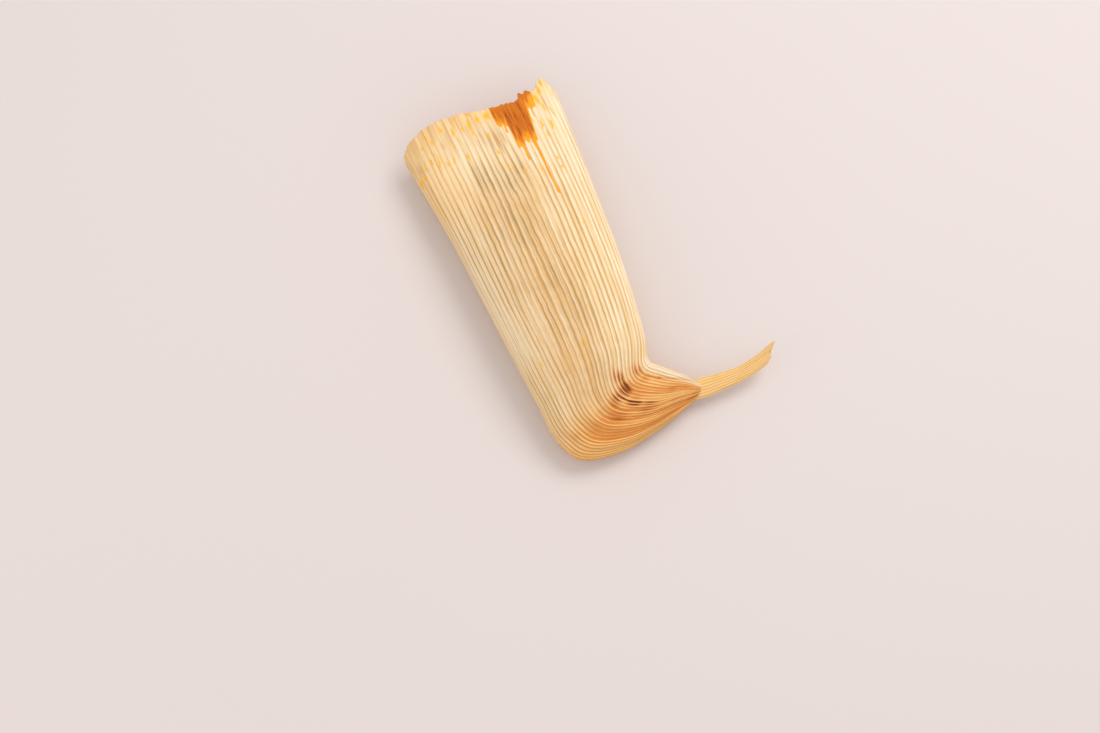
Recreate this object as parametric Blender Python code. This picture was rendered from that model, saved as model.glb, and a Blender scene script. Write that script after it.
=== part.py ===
"""A tamale in its corn husk, lying on its back with the shown front face up.

Two solids.  The husk is one ribbed leaf drawn into a flat sleeve: open and
torn at the broad end (+Y), bent over and gathered to the right (+X) at the
narrow end, where it runs out into a thin twisted tail.  The masa is the
cooked dough that fills the sleeve and shows at the open end.
Lengths are written in millimetres and scaled to metres when a mesh is made.
"""
import math

import bpy
import bmesh
import numpy as np

MM = 0.001

# ---------------------------------------------------------------- the leaf
RUN_LENGTH = 150.0         # from the open end round the bend to the lobe tip
FRONT_RIBS = 32            # veins across the front, from edge to edge
BACK_RIBS = 30             # veins across the back
RIB_HEIGHT = 0.46          # crest to valley
WALL_BODY = 1.0            # wall of the sleeve, ribs included
WALL_RIM = 0.55            # the leaf thins at the open end
WALL_EDGE = 1.5            # wall at the two folded side edges
GAP = 0.5                  # air between leaf and dough
RIM_REACH = 16.0           # how far down the torn rim line fades out
PRESS_DEPTH = 0.7          # how much of the underside is pressed flat
SEAM_AT = 0.80             # free edge of the leaf, by how far across the back
SEAM_STEP = 0.6            # it stands proud by its own thickness
WOBBLE = 0.28              # sideways wander of the veins
DENT = 0.45                # shallow hollows of the soaked leaf

# Sections of the sleeve from the open end to the tip of the gathered lobe:
# run (0 open end, 1 lobe tip), left edge x y, right edge x y,
# height of the left edge, of the right edge, of the top and of the underside.
SECTIONS = (
    (0.00, -31.5, 57.5, 34.2, 61.5, 9.0, 12.0, 20.0, 0.0),
    (0.10, -29.6, 43.5, 33.6, 44.0, 9.5, 12.5, 23.0, 0.0),
    (0.25, -27.1, 21.0, 32.4, 21.0, 10.0, 13.0, 26.0, 0.0),
    (0.42, -25.2, -6.0, 30.8, -5.0, 10.0, 13.0, 27.5, 0.0),
    (0.58, -23.6, -30.5, 28.7, -27.0, 10.0, 12.5, 26.5, 0.0),
    (0.70, -22.0, -50.0, 26.3, -43.0, 9.0, 12.0, 23.5, 0.0),
    (0.79, -20.2, -68.0, 24.0, -52.4, 7.0, 12.0, 17.5, 0.3),
    (0.86, -12.5, -77.6, 27.0, -55.8, 5.5, 12.0, 14.5, 0.8),
    (0.91, 3.0, -79.8, 31.5, -60.0, 5.0, 11.3, 12.8, 1.5),
    (0.96, 22.0, -76.6, 36.0, -64.4, 5.3, 10.0, 11.0, 2.5),
    (1.00, 34.6, -72.8, 39.4, -69.0, 6.0, 8.0, 9.0, 4.0),
)
LEFT_FRONT = (3.0, 0.50)   # rounded left shoulder: power inside, power outside
RIGHT_FRONT = (2.8, 0.72)  # creased right edge
LEFT_BACK = (3.6, 0.50)
RIGHT_BACK = (3.0, 0.74)
LIP_FRONT = 1.25           # outside powers of the right edge past the bend,
LIP_BACK = 1.10            # where the leaf is folded thin
PLEAT_HEIGHT = 0.60        # pleats of the gathered end
PLEAT_RIBS = 5.6           # veins taken into each pleat
PLEAT_DRIFT = 1.3          # how unevenly the pleats are spaced
PLEAT_FROM = 0.72          # they begin above the bend
PLEAT_FULL = 0.90
FULL_PLEAT_DEPTH = 7.0     # where the bundle is thinner, pleats and veins fade
FULL_RIB_DEPTH = 2.0

# Rim line of the front, by how far across the front it lies (0 left, 1 right):
# how far it stands out beyond the straight line between the two edges.
FRONT_RIM = (
    (0.00, 0.0), (0.04, 3.0), (0.10, 5.2), (0.20, 6.9), (0.30, 7.4),
    (0.42, 6.0), (0.54, 3.6), (0.66, 1.6), (0.755, 1.0), (0.765, 3.6),
    (0.79, 2.6), (0.86, 2.7), (0.89, 4.4), (0.94, 6.0), (0.965, 4.4), (1.00, 0.0),
)
BACK_RIM_SWELL = 2.6       # the back rim bows out a little less than the front
BACK_RIM_NICK = 1.4        # shallow nicks along it

# ---------------------------------------------------------------- the tail
# path x y z, half width, half thickness of the two strands of the tail
LONG_STRAND = (
    (20.0, -65.5, 6.8, 3.0, 1.8),
    (36.0, -66.6, 6.4, 2.4, 1.4),
    (46.0, -68.3, 6.7, 2.0, 1.1),
    (56.0, -68.8, 7.5, 1.8, 0.95),
    (64.0, -68.0, 8.8, 1.6, 0.8),
    (69.0, -66.5, 9.9, 1.1, 0.6),
    (72.4, -64.9, 10.8, 0.4, 0.35),
)
SHORT_STRAND = (
    (22.0, -69.8, 6.4, 2.6, 1.7),
    (36.0, -71.0, 6.2, 2.7, 1.4),
    (47.0, -71.9, 6.5, 1.9, 1.05),
    (56.0, -72.0, 7.2, 1.5, 0.9),
    (63.5, -71.0, 8.3, 1.3, 0.75),
    (68.0, -69.6, 9.2, 0.4, 0.35),
)
STRAND_SIDES = 10
STRAND_STEPS = 15
STRAND_CREASE = 0.16       # depth of the folds along a strand

# ---------------------------------------------------------------- the dough
MASA_RECESS = 3.4          # dough stands back from the rim
MASA_ROUND = 2.4           # rounding of its showing face
MASA_LUMP = 0.7            # lumps of that face
MASA_FACE = ((0.93, 0.55), (0.72, 1.0), (0.4, 1.05))  # its loops: size, share of the rounding
MASA_TAPER_RUN = 0.60      # from here the dough draws in towards its end
MASA_TAPER = 3.2           # by this much all round
MASA_END_RUN = 0.765       # where the dough ends under the bend
LEAF_END_RUN = 0.785       # where the hollow of the sleeve ends

# where the loops of the sleeve lie: closer at the rim and round the bend
OUTER_SPANS = ((0.0, 0.12, 4), (0.12, 0.66, 7), (0.66, 1.0, 14))
INNER_STEPS = 9
MASA_STEPS = 11
MASA_SIDES = 44
PROFILE_SAMPLES = 160
SHARP_ANGLE = 30.0         # veins and folds keep their edges

HUSK_COLOUR = (0.80, 0.62, 0.34)
HUSK_ROUGHNESS = 0.62
MASA_COLOUR = (0.78, 0.55, 0.22)
MASA_ROUGHNESS = 0.7


def track(knots, values, at):
    """Smooth curve through the values given at the knots."""
    knots = np.asarray(knots, float)
    values = np.asarray(values, float)
    at = np.clip(np.asarray(at, float), knots[0], knots[-1])
    slope = np.gradient(values, knots)
    cell = np.clip(np.searchsorted(knots, at, side="right") - 1, 0, len(knots) - 2)
    width = knots[cell + 1] - knots[cell]
    f = (at - knots[cell]) / width
    start = (1 + 2 * f) * (1 - f) ** 2 * values[cell] + f * (1 - f) ** 2 * width * slope[cell]
    end = f * f * (3 - 2 * f) * values[cell + 1] + f * f * (f - 1) * width * slope[cell + 1]
    return start + end


def ease(low, high, x):
    """Smooth step from 0 at low to 1 at high."""
    f = np.clip((np.asarray(x, float) - low) / (high - low), 0.0, 1.0)
    return f * f * (3 - 2 * f)


def section(run):
    """Edges and heights of the sleeve at one place along it."""
    table = np.asarray(SECTIONS)
    row = [float(track(table[:, 0], table[:, i], run)) for i in range(1, 9)]
    left = np.array(row[0:2])
    right = np.array(row[2:4])
    return left, right, row[4], row[5], row[6], row[7]


def swell(t, left_powers, right_powers):
    """Rounded profile from 0 at both edges to 1 between them."""
    inner = np.where(t < 0, left_powers[0], right_powers[0])
    outer = np.where(t < 0, left_powers[1], right_powers[1])
    return np.power(np.clip(1 - np.abs(t) ** inner, 0, 1), outer)


def profile(run, inset_side, inset_face):
    """Closed section as chord position and height, front then back."""
    left, right, z_left, z_right, z_top, z_low = section(run)
    theta = np.linspace(0, math.pi, PROFILE_SAMPLES)
    t = -np.cos(theta)
    across = (t + 1) / 2
    edge = z_left + (z_right - z_left) * across
    folded = float(ease(PLEAT_FROM, PLEAT_FULL, run))
    right_front = (RIGHT_FRONT[0], RIGHT_FRONT[1] + (LIP_FRONT - RIGHT_FRONT[1]) * folded)
    right_back = (RIGHT_BACK[0], RIGHT_BACK[1] + (LIP_BACK - RIGHT_BACK[1]) * folded)
    front = edge + (z_top - edge - inset_face) * swell(t, LEFT_FRONT, right_front)
    drop = (edge - z_low + PRESS_DEPTH) * swell(t, LEFT_BACK, right_back)
    back = np.maximum(edge - drop, z_low + inset_face)
    chord = np.linalg.norm(right - left)
    place = inset_side + (chord - 2 * inset_side) * across
    return left, right, place, front, back


def along_arc(place, height, shares):
    """Points and outward normals at the given shares of a profile's length."""
    step = np.hypot(np.diff(place), np.diff(height))
    run = np.concatenate(([0.0], np.cumsum(step)))
    at = np.asarray(shares) * run[-1]
    p = np.interp(at, run, place)
    h = np.interp(at, run, height)
    tangent_p = np.interp(at, run, np.gradient(place, run))
    tangent_h = np.interp(at, run, np.gradient(height, run))
    size = np.hypot(tangent_p, tangent_h)
    return p, h, -tangent_h / size, tangent_p / size


def wander(y, phase):
    """Slow irregular swing used for veins, dents and lumps."""
    first = math.sin(y / 3.1 + 1.7 * phase)
    second = math.sin(y / 7.3 - 0.9 * phase + 1.3)
    third = math.sin(y / 1.9 + 2.3 * phase + 0.4)
    return 0.45 * second + 0.35 * first + 0.2 * third


def rim_shift(front, share):
    """How far the rim stands out beyond the straight mouth line."""
    if front:
        table = np.asarray(FRONT_RIM)
        return float(np.interp(share, table[:, 0], table[:, 1]))
    bow = BACK_RIM_SWELL * math.sin(math.pi * share)
    return bow + BACK_RIM_NICK * math.sin(math.pi * share) * wander(24.0 * share, 2.0)


def overlap(share):
    """Where the leaf lies double on the back: 1 at its free edge, 0 at the fold."""
    if share < SEAM_AT:
        return 0.0
    return (1 - share) / (1 - SEAM_AT)


def ring(run, front_shares, back_shares, side, face, rib):
    """One closed loop of points round the sleeve, from the left edge over the
    front to the right edge and back underneath."""
    left, right, place, front, back = profile(run, side, face)
    chord = np.linalg.norm(right - left)
    points = []
    for is_front, heights, shares in ((True, front, front_shares), (False, back, back_shares)):
        p, h, n_p, n_h = along_arc(place, heights, shares)
        if not is_front:
            n_p, n_h = -n_p, -n_h
        for i, share in enumerate(shares):
            x, y = left + (right - left) * (p[i] / chord)
            reach = max(0.0, 1 - run * RUN_LENGTH / RIM_REACH)
            y += rim_shift(is_front, share) * reach * reach * (3 - 2 * reach)
            lift = rib * RIB_HEIGHT * (0.5 if i % 2 == 0 else -0.5)
            hollow = DENT * wander(y * 0.55, 3.0 * share + (0 if is_front else 2))
            hollow *= math.sin(math.pi * share) ** 2
            free = 1.0 if is_front else float(ease(0.1, 1.2, h[i] - face - section(run)[5]))
            lap = 0.0 if is_front else SEAM_STEP * overlap(share)
            thick = float(np.interp(p[i], place, front - back))
            turn = 2 * math.pi * share * FRONT_RIBS / PLEAT_RIBS
            fold = math.sin(turn + PLEAT_DRIFT * wander(FRONT_RIBS * share, 1.0 + 1.5 * run))
            fold *= 0.7 + 0.5 * wander(0.7 * FRONT_RIBS * share, 4.0 + 2.0 * run)
            pleat = PLEAT_HEIGHT * float(ease(PLEAT_FROM, PLEAT_FULL, run)) * fold
            pleat *= float(ease(1.0, FULL_PLEAT_DEPTH, thick)) if rib else 0.0
            lift *= min(1.0, thick / FULL_RIB_DEPTH)
            out = (lift + hollow + lap + pleat) * free
            x += n_p[i] * out * (right - left)[0] / chord
            y += n_p[i] * out * (right - left)[1] / chord
            x += WOBBLE * wander(y, 5.0 * share) * math.sin(math.pi * share)
            points.append((x, y, max(0.0, h[i] + n_h[i] * out)))
    return points


def shares_of(count):
    """Even places from one edge up to, but not on, the other."""
    return [i / count for i in range(count)]


def backwards(count):
    """The same for the back, which is walked from the right edge to the left."""
    return [1 - i / count for i in range(count)]


def add_rings(bm, rings):
    """Make the loops and skin them; the first loop and the last are returned."""
    loops = [[bm.verts.new([c * MM for c in point]) for point in loop] for loop in rings]
    for a, b in zip(loops, loops[1:]):
        for i in range(len(a)):
            j = (i + 1) % len(a)
            bm.faces.new((a[i], a[j], b[j]))
            bm.faces.new((a[i], b[j], b[i]))
    return loops[0], loops[-1]


def close_end(bm, loop, push):
    """Fan a loop to its middle, set out by the push."""
    middle = sum((v.co for v in loop), loop[0].co * 0) / len(loop)
    centre = bm.verts.new([middle[i] + push[i] * MM for i in range(3)])
    for i in range(len(loop)):
        bm.faces.new((loop[i], loop[(i + 1) % len(loop)], centre))


def bridge_double(bm, many, few):
    """Join a loop to one with half as many points."""
    total = len(many)
    for i, point in enumerate(few):
        a, b, c = many[2 * i], many[(2 * i + 1) % total], many[(2 * i + 2) % total]
        following = few[(i + 1) % len(few)]
        bm.faces.new((point, a, b))
        bm.faces.new((point, b, following))
        bm.faces.new((following, b, c))


def finish(bm, name, colour, roughness):
    """Make the named object with its own material from a built mesh."""
    bmesh.ops.recalc_face_normals(bm, faces=bm.faces)
    if bm.calc_volume(signed=True) < 0:
        bmesh.ops.reverse_faces(bm, faces=bm.faces)
    mesh = bpy.data.meshes.new(name)
    bm.to_mesh(mesh)
    bm.free()
    body = bpy.data.objects.new(name, mesh)
    bpy.context.collection.objects.link(body)
    material = bpy.data.materials.new(name + "_surface")
    material.use_nodes = True
    shader = material.node_tree.nodes["Principled BSDF"]
    shader.inputs["Base Color"].default_value = (*colour, 1.0)
    shader.inputs["Roughness"].default_value = roughness
    material.diffuse_color = (*colour, 1.0)
    mesh.materials.append(material)
    return body


def strand(name, path, turn):
    """One tapering strand of the tail, folded along its length."""
    table = np.asarray(path)
    knots = np.linspace(0, 1, len(path))
    bm = bmesh.new()
    loops = []
    for s in np.linspace(0, 1, STRAND_STEPS):
        x, y, z, wide, thick = [float(track(knots, table[:, i], s)) for i in range(5)]
        ahead = [float(track(knots, table[:, i], min(s + 0.02, 1))) for i in range(2)]
        behind = [float(track(knots, table[:, i], max(s - 0.02, 0))) for i in range(2)]
        heading = math.atan2(ahead[1] - behind[1], ahead[0] - behind[0])
        loop = []
        for k in range(STRAND_SIDES):
            angle = 2 * math.pi * k / STRAND_SIDES + turn * s
            fold = 1 + STRAND_CREASE * (1 if k % 2 else -1)
            side = wide * fold * math.cos(angle)
            up = thick * fold * math.sin(angle)
            loop.append((x - side * math.sin(heading), y + side * math.cos(heading), z + up))
        loops.append(loop)
    first, last = add_rings(bm, loops)
    close_end(bm, first, (-0.5, 0, 0))
    close_end(bm, last, (0.5, 0.2, 0.1))
    return finish(bm, name, HUSK_COLOUR, HUSK_ROUGHNESS)


def sleeve():
    """The ribbed leaf with its hollow, closed at the gathered lobe."""
    front = shares_of(2 * FRONT_RIBS)
    back = backwards(2 * BACK_RIBS)
    runs = []
    for start, stop, steps in OUTER_SPANS:
        runs.extend(np.linspace(start, stop, steps, endpoint=False))
    runs.append(1.0)
    outer = [ring(r, front, back, 0.0, 0.0, min(1.0, 0.55 + 6 * r)) for r in runs]
    bm = bmesh.new()
    mouth, tip = add_rings(bm, outer)
    close_end(bm, tip, (1.0, -0.6, 0))
    inner_runs = np.linspace(0, LEAF_END_RUN, INNER_STEPS + 1)
    hollow = []
    for r in inner_runs:
        thin = float(ease(0.0, 0.08, r))
        face = WALL_RIM + (WALL_BODY - WALL_RIM) * thin
        side = WALL_RIM + (WALL_EDGE - WALL_RIM) * thin
        hollow.append(ring(r, front[::2], back[::2], side, face, 0.0))
    lip, floor = add_rings(bm, hollow)
    close_end(bm, floor, (0, -0.8, 0))
    bridge_double(bm, mouth, lip)
    return finish(bm, "husk", HUSK_COLOUR, HUSK_ROUGHNESS)


def unite(body, other):
    """Grow a piece into the body it belongs to."""
    join = body.modifiers.new("grown", "BOOLEAN")
    join.operation = "UNION"
    join.solver = "EXACT"
    join.object = other
    bpy.context.view_layer.update()
    graph = bpy.context.evaluated_depsgraph_get()
    mesh = bpy.data.meshes.new_from_object(body.evaluated_get(graph))
    body.modifiers.clear()
    body.data = mesh
    bpy.data.objects.remove(other, do_unlink=True)


def dough():
    """The dough, lumpy where it shows and smooth where the leaf holds it."""
    front = shares_of(MASA_SIDES // 2)
    back = backwards(MASA_SIDES // 2)
    side = WALL_EDGE + GAP
    face = WALL_BODY + GAP
    start = MASA_RECESS / RUN_LENGTH
    runs = start + (MASA_END_RUN - start) * np.linspace(0, 1, MASA_STEPS + 1)
    loops = []
    for r in runs:
        narrow = MASA_TAPER * float(ease(MASA_TAPER_RUN, MASA_END_RUN, r))
        loops.append(ring(r, front, back, side + narrow, face + narrow, 0.0))
    bm = bmesh.new()
    first, last = add_rings(bm, loops)
    close_end(bm, last, (0, -0.3, 0))
    centre = np.mean([v.co for v in first], axis=0) / MM
    cap = []
    for level, (shrink, push) in enumerate(MASA_FACE):
        row = []
        for k, vert in enumerate(first):
            spot = centre + (np.array(vert.co) / MM - centre) * shrink
            bump = MASA_LUMP * wander(spot[0] * 1.3 + 5 * level, spot[2] * 0.6) * push
            row.append((spot[0], spot[1] + MASA_ROUND * push * 0.5 + bump, spot[2]))
        cap.append(row)
    previous = first
    for row in cap:
        loop = [bm.verts.new([c * MM for c in point]) for point in row]
        for i in range(len(loop)):
            j = (i + 1) % len(loop)
            bm.faces.new((previous[j], previous[i], loop[i]))
            bm.faces.new((previous[j], loop[i], loop[j]))
        previous = loop
    close_end(bm, previous[::-1], (0, 0.2, 0))
    return finish(bm, "masa", MASA_COLOUR, MASA_ROUGHNESS)


def main():
    for old in list(bpy.data.objects):
        bpy.data.objects.remove(old, do_unlink=True)
    husk = sleeve()
    unite(husk, strand("short_strand", SHORT_STRAND, 0.5))
    unite(husk, strand("long_strand", LONG_STRAND, -0.6))
    masa = dough()
    # the origin goes under the middle of the whole
    corners = [v.co for body in (husk, masa) for v in body.data.vertices]
    middle_x = (min(c[0] for c in corners) + max(c[0] for c in corners)) / 2
    middle_y = (min(c[1] for c in corners) + max(c[1] for c in corners)) / 2
    for body in (husk, masa):
        for v in body.data.vertices:
            v.co[0] -= middle_x
            v.co[1] -= middle_y
        body.data.shade_smooth()
        body.data.set_sharp_from_angle(angle=math.radians(SHARP_ANGLE))


main()
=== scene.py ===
"""Looks of the corn-husk tamale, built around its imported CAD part."""
import math

import bpy
import numpy as np
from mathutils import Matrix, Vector


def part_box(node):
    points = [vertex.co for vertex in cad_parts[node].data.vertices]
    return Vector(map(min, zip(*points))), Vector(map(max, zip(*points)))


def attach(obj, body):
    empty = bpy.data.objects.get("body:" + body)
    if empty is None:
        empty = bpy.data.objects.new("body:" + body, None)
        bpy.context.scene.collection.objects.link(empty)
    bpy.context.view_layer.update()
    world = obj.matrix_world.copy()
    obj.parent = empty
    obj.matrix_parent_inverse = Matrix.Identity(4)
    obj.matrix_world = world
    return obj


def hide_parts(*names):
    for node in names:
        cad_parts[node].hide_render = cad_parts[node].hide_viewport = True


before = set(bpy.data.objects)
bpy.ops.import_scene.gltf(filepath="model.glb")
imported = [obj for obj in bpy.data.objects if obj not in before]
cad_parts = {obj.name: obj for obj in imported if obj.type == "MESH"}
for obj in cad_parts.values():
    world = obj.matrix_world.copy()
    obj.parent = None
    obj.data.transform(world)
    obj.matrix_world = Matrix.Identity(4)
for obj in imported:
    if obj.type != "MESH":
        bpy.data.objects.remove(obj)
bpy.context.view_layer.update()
HUSK_LOW, HUSK_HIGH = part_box("husk")

MM = 0.001

# ------------------------------------------------------------------ the leaf
# Lengths are in millimetres. The form is that of the CAD part, with rounder veins.
RUN_LENGTH = 150.0         # from the open end round the bend to the lobe tip
FRONT_RIBS = 32            # veins across the front
BACK_RIBS = 30             # veins across the back
FRONT_PER_RIB = 9          # mesh columns to a vein
BACK_PER_RIB = 4
RIB_HEIGHT = 0.50          # crest to valley
PRESS_DEPTH = 0.7          # depth of the underside that is pressed flat
SEAM_AT = 0.80             # free edge of the leaf, by how far across the back
SEAM_STEP = 0.6            # height of its step, which runs out at the right edge
RIM_REACH = 16.0           # how far down the torn rim line fades out
DENT = 0.45                # shallow hollows of the soaked leaf
LEAF_END_RUN = 0.785       # where the hollow of the sleeve ends
THIN_RUN = 0.08            # from the rim to here the leaf thickens
RIM_SIDE, BODY_SIDE = 0.3, 1.2    # inset of the hollow at the side edges: at the rim, more inside
RIM_FACE, BODY_FACE = 0.35, 0.65  # and the same for its faces

# ------------------------------------------------------------------ the dough
MASA_RECESS = 3.4          # it stands back from the rim
MASA_SIDE, MASA_FACE = 1.9, 1.4   # inset from the outside of the leaf: sides, faces
MASA_TAPER_RUN = 0.60      # from here the dough draws in towards its end
MASA_TAPER = 3.2           # by this much all round
MASA_END_RUN = 0.765
MASA_COLUMNS = 240
MASA_RINGS = 14
MASA_LEVELS = 80           # loops of its showing face

# each point of the leaf carries its vein, distance and shade (partly painted highlight on the
# crests, painted shade in the grooves), then these marks: sauce, scorch, grey, yellow, pale
# (partly painted light through the thin rim), orange, cream_and_highlight (partly painted
# highlight), tawny (painted shade at the left edge, elsewhere its own colour)
FLOW = 3
MARKS = 8
YELLOW, PALE, ORANGE, CREAM_AND_HIGHLIGHT = 3, 4, 5, 6

# run, left edge x y, right edge x y, height of left edge, right edge, top, underside
SECTIONS = np.array((
    (0.00, -31.5, 57.5, 34.2, 61.5, 9.0, 12.0, 20.0, 0.0),
    (0.10, -29.6, 43.5, 33.6, 44.0, 9.5, 12.5, 23.0, 0.0),
    (0.25, -27.1, 21.0, 32.4, 21.0, 10.0, 13.0, 26.0, 0.0),
    (0.42, -25.2, -6.0, 30.8, -5.0, 10.0, 13.0, 27.5, 0.0),
    (0.58, -23.6, -30.5, 28.7, -27.0, 10.0, 12.5, 26.5, 0.0),
    (0.70, -22.0, -50.0, 26.3, -43.0, 9.0, 12.0, 23.5, 0.0),
    (0.79, -20.2, -68.0, 24.0, -52.4, 7.0, 12.0, 17.5, 0.3),
    (0.86, -12.5, -77.6, 27.0, -55.8, 5.5, 12.0, 14.5, 0.8),
    (0.91, 3.0, -79.8, 31.5, -60.0, 5.0, 11.3, 12.8, 1.5),
    (0.96, 22.0, -76.6, 36.0, -64.4, 5.3, 10.0, 11.0, 2.5),
    (1.00, 34.6, -72.8, 39.4, -69.0, 6.0, 8.0, 9.0, 4.0),
))
LEFT_FRONT = (3.0, 0.50)   # rounded left shoulder: power inside, power outside
RIGHT_FRONT = (2.8, 0.72)  # creased right edge
LEFT_BACK = (3.6, 0.50)
RIGHT_BACK = (3.0, 0.74)
LIP_FRONT = 1.25           # outside powers of the right edge past the bend
LIP_BACK = 1.10
PLEAT_HEIGHT = 0.60        # pleats of the gathered end
PLEAT_RIBS = 5.6           # veins taken into each pleat
PLEAT_DRIFT = 1.3          # how unevenly the pleats are spaced
PLEAT_FROM = 0.72
PLEAT_FULL = 0.90
FULL_PLEAT_DEPTH = 7.0     # where the bundle is thinner, pleats and veins fade
FULL_RIB_DEPTH = 2.0
# rim line of the front: how far across, how far beyond the straight mouth line
FRONT_RIM = np.array((
    (0.00, 0.0), (0.04, 3.0), (0.10, 5.2), (0.20, 6.9), (0.30, 7.4),
    (0.42, 6.0), (0.54, 3.6), (0.66, 1.6), (0.755, 1.0), (0.765, 3.6),
    (0.79, 2.6), (0.86, 2.7), (0.89, 4.4), (0.94, 6.0), (0.965, 4.4), (1.00, 0.0),
))
BACK_RIM_SWELL = 2.6
BACK_RIM_NICK = 1.4
PROFILE_SAMPLES = 400


# ------------------------------------------------------------------ noise
def lattice(ix, iy, seed):
    """Repeatable random value in 0..1 at whole-number places."""
    n = (ix.astype(np.int64) * 374761393 + iy.astype(np.int64) * 668265263
         + seed * 1274126177) & 0xFFFFFFFF
    n = ((n ^ (n >> 13)) * 1103515245 + 12345) & 0xFFFFFFFF
    n = ((n ^ (n >> 16)) * 2246822519) & 0xFFFFFFFF
    return ((n ^ (n >> 15)) & 0xFFFFFF) / float(0xFFFFFF)


def noise(x, y, seed=0):
    """Smooth value noise in -1..1."""
    x, y = np.broadcast_arrays(np.asarray(x, float), np.asarray(y, float))
    ix, iy = np.floor(x), np.floor(y)
    fx, fy = x - ix, y - iy
    fx = fx * fx * fx * (fx * (6 * fx - 15) + 10)
    fy = fy * fy * fy * (fy * (6 * fy - 15) + 10)
    low = lattice(ix, iy, seed) * (1 - fx) + lattice(ix + 1, iy, seed) * fx
    high = lattice(ix, iy + 1, seed) * (1 - fx) + lattice(ix + 1, iy + 1, seed) * fx
    return 2 * (low * (1 - fy) + high * fy) - 1


def layers(x, y, seed=0, octaves=3):
    """Several scales of the noise together."""
    total, weight, size = 0.0, 1.0, 0.0
    for k in range(octaves):
        total = total + weight * noise(x * 2.03 ** k + 17.3 * k, y * 2.03 ** k - 9.1 * k, seed + k)
        size += weight
        weight *= 0.5
    return total / size


def ease(low, high, x):
    """Smooth step from 0 at low to 1 at high."""
    f = np.clip((np.asarray(x, float) - low) / (high - low), 0.0, 1.0)
    return f * f * (3 - 2 * f)


def track(knots, values, at):
    """Smooth curve through values at knots."""
    knots = np.asarray(knots, float)
    values = np.asarray(values, float)
    at = np.clip(np.asarray(at, float), knots[0], knots[-1])
    slope = np.gradient(values, knots)
    cell = np.clip(np.searchsorted(knots, at, side="right") - 1, 0, len(knots) - 2)
    width = knots[cell + 1] - knots[cell]
    f = (at - knots[cell]) / width
    start = (1 + 2 * f) * (1 - f) ** 2 * values[cell] + f * (1 - f) ** 2 * width * slope[cell]
    end = f * f * (3 - 2 * f) * values[cell + 1] + f * f * (f - 1) * width * slope[cell + 1]
    return start + end


# ------------------------------------------------------------------ the form
def swell(t, left_powers, right_powers):
    """Rounded profile from 0 at both edges to 1 between them."""
    inner = np.where(t < 0, left_powers[0], right_powers[0])
    outer = np.where(t < 0, left_powers[1], right_powers[1])
    return np.power(np.clip(1 - np.abs(t) ** inner, 0, 1), outer)


def profile(run, inset_side, inset_face):
    """One section of the sleeve: its edges, its underside, and its heights across."""
    row = [float(track(SECTIONS[:, 0], SECTIONS[:, i], run)) for i in range(1, 9)]
    left, right = np.array(row[0:2]), np.array(row[2:4])
    z_left, z_right, z_top, z_low = row[4:8]
    t = -np.cos(np.linspace(0, math.pi, PROFILE_SAMPLES))
    across = (t + 1) / 2
    edge = z_left + (z_right - z_left) * across
    folded = float(ease(PLEAT_FROM, PLEAT_FULL, run))
    right_front = (RIGHT_FRONT[0], RIGHT_FRONT[1] + (LIP_FRONT - RIGHT_FRONT[1]) * folded)
    right_back = (RIGHT_BACK[0], RIGHT_BACK[1] + (LIP_BACK - RIGHT_BACK[1]) * folded)
    front = edge + (z_top - edge - inset_face) * swell(t, LEFT_FRONT, right_front)
    drop = (edge - z_low + PRESS_DEPTH) * swell(t, LEFT_BACK, right_back)
    back = np.maximum(edge - drop, z_low + inset_face)
    chord = np.linalg.norm(right - left)
    place = inset_side + (chord - 2 * inset_side) * across
    return left, right, z_low, place, front, back


def along_arc(place, height, shares):
    """Points and upward normals at the given shares of a profile's length, and that length."""
    step = np.hypot(np.diff(place), np.diff(height))
    run = np.concatenate(([0.0], np.cumsum(step)))
    at = shares * run[-1]
    tangent_p = np.interp(at, run, np.gradient(place, run))
    tangent_h = np.interp(at, run, np.gradient(height, run))
    size = np.hypot(tangent_p, tangent_h)
    return (np.interp(at, run, place), np.interp(at, run, height),
            -tangent_h / size, tangent_p / size, run[-1])


def wander(y, phase):
    """Slow irregular swing, the same as the CAD part's."""
    first = np.sin(y / 3.1 + 1.7 * phase)
    second = np.sin(y / 7.3 - 0.9 * phase + 1.3)
    third = np.sin(y / 1.9 + 2.3 * phase + 0.4)
    return 0.45 * second + 0.35 * first + 0.2 * third


def rim_shift(is_front, share):
    """How far the torn rim stands out beyond the straight mouth line."""
    if is_front:
        line = np.interp(share, FRONT_RIM[:, 0], FRONT_RIM[:, 1])
        rough = 1 + 1.3 * ease(0.62, 0.72, share) + 0.9 * ease(0.86, 0.9, share)
        torn = rough * (0.35 * noise(share * 52.0, 0.5, 71) + 0.25 * noise(share * 110.0, 0.5, 72))
        return line + torn * ease(0.0, 0.05, share) * ease(1.0, 0.97, share)
    bow = np.sin(math.pi * share)
    wave = 0.8 * noise(share * 7.0, 3.5, 73) + 0.4 * noise(share * 23.0, 3.5, 74)
    return bow * (BACK_RIM_SWELL + BACK_RIM_NICK * wave)


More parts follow.
